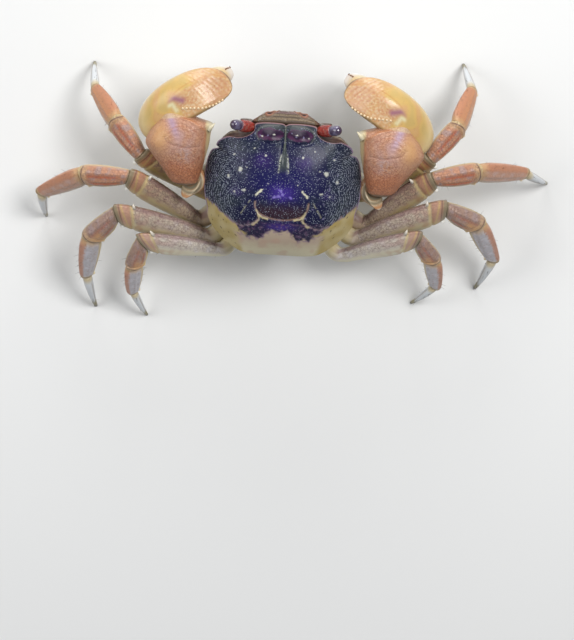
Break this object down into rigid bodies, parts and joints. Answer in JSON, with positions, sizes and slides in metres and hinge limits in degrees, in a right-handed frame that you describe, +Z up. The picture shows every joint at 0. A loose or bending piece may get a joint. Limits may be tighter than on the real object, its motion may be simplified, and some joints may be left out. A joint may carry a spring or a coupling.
{
  "type": "crab, still model",
  "caption": "Life-size still model of a mangrove crab with a domed violet shell, stout claws held in front of it and walking legs spread on the floor.",
  "frame": {"origin": "middle of the footprint's box, on the floor that the walking legs' tips rest on", "axes": "+X to the animal's left, -Y the way it faces, +Z up"},
  "size_m": [0.122, 0.0658, 0.0346],
  "materials": {
    "carapace_shell": "granulated violet-blue shell, satin",
    "face_shell": "brown-violet shell, satin",
    "underside_shell": "cream shell, satin",
    "eyestalk": "red, moist",
    "cornea": "violet-grey, glossy",
    "antenna": "brown, ringed",
    "cheliped_palm": "ochre to ivory shell, satin",
    "cheliped_finger": "ivory shell with amber tip, satin",
    "cheliped_carpus": "wrinkled orange-pink shell",
    "leg_merus": "mottled lilac shell",
    "leg_shell": "orange-pink shell, pale flanks",
    "leg_dactyl": "pale horn with amber tip"
  },
  "bodies": {
    "root": {"carapace": "carapace_shell", "face": "face_shell", "maxilliped_left": "underside_shell", "maxilliped_right": "underside_shell", "sternum": "underside_shell", "pleon": "underside_shell", "eyestalk_left": "eyestalk", "eyestalk_right": "eyestalk", "eye_left": "cornea", "eye_right": "cornea", "antenna_left": "antenna", "antenna_right": "antenna", "cheliped_left_merus": "leg_merus", "cheliped_left_carpus": "cheliped_carpus", "cheliped_left_palm": "cheliped_palm", "cheliped_left_finger": "cheliped_finger", "cheliped_right_merus": "leg_merus", "cheliped_right_carpus": "cheliped_carpus", "cheliped_right_palm": "cheliped_palm", "cheliped_right_finger": "cheliped_finger", "leg_2_left_merus": "leg_merus", "leg_2_left_carpus": "leg_shell", "leg_2_left_propodus": "leg_shell", "leg_2_left_dactyl": "leg_dactyl", "leg_2_right_merus": "leg_merus", "leg_2_right_carpus": "leg_shell", "leg_2_right_propodus": "leg_shell", "leg_2_right_dactyl": "leg_dactyl", "leg_3_left_merus": "leg_merus", "leg_3_left_carpus": "leg_shell", "leg_3_left_propodus": "leg_shell", "leg_3_left_dactyl": "leg_dactyl", "leg_3_right_merus": "leg_merus", "leg_3_right_carpus": "leg_shell", "leg_3_right_propodus": "leg_shell", "leg_3_right_dactyl": "leg_dactyl", "leg_4_left_merus": "leg_merus", "leg_4_left_carpus": "leg_shell", "leg_4_left_propodus": "leg_shell", "leg_4_left_dactyl": "leg_dactyl", "leg_4_right_merus": "leg_merus", "leg_4_right_carpus": "leg_shell", "leg_4_right_propodus": "leg_shell", "leg_4_right_dactyl": "leg_dactyl", "leg_5_left_merus": "leg_merus", "leg_5_left_carpus": "leg_shell", "leg_5_left_propodus": "leg_shell", "leg_5_left_dactyl": "leg_dactyl", "leg_5_right_merus": "leg_merus", "leg_5_right_carpus": "leg_shell", "leg_5_right_propodus": "leg_shell", "leg_5_right_dactyl": "leg_dactyl"}
  },
  "joints": []
}
